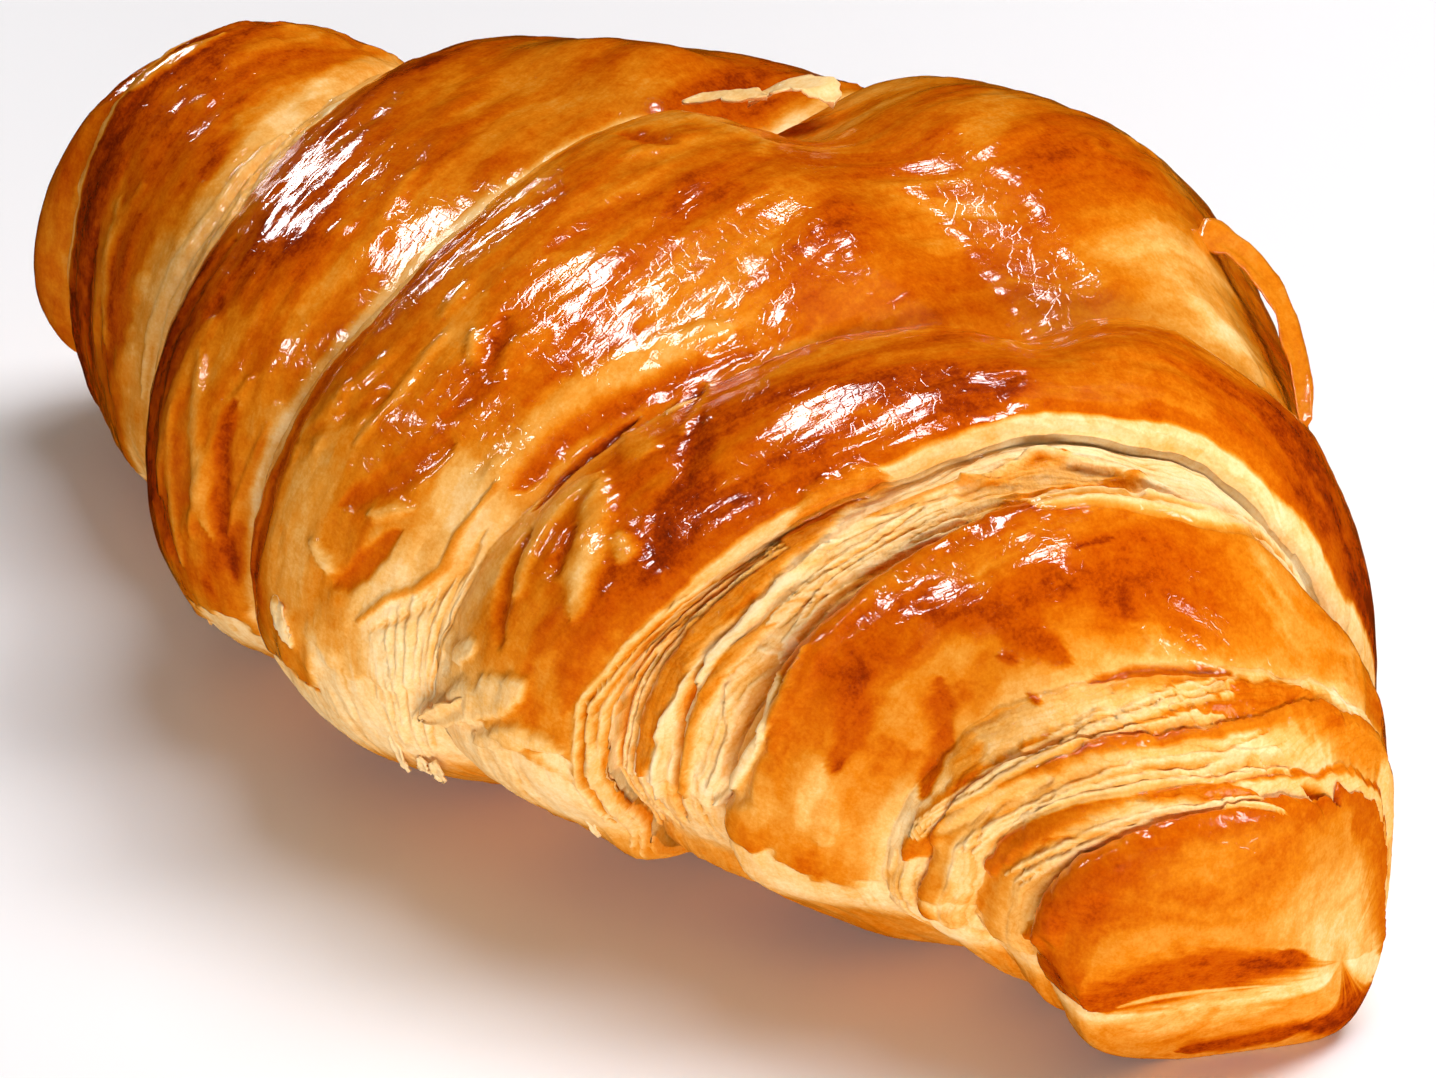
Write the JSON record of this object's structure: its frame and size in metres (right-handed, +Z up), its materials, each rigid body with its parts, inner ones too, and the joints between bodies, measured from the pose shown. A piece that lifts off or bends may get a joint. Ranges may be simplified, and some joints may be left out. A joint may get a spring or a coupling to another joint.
{
  "type": "butter croissant",
  "caption": "Plump straight butter croissant of rolled laminated dough with overlapping browned wraps, pale layered bands between them and two blunt tips.",
  "frame": {"origin": "centre of the outline seen from above, at the level of the flattened underside", "axes": "+X along the roll towards the near tip, -Y towards the front shown in the picture, +Z up"},
  "size_m": [0.148, 0.0878, 0.0575],
  "materials": {
    "crust": "egg-washed browned pastry crust, glossy and uneven on the wraps, matt and pale cream in the layered bands"
  },
  "bodies": {
    "root": {"croissant": "crust"}
  },
  "joints": []
}
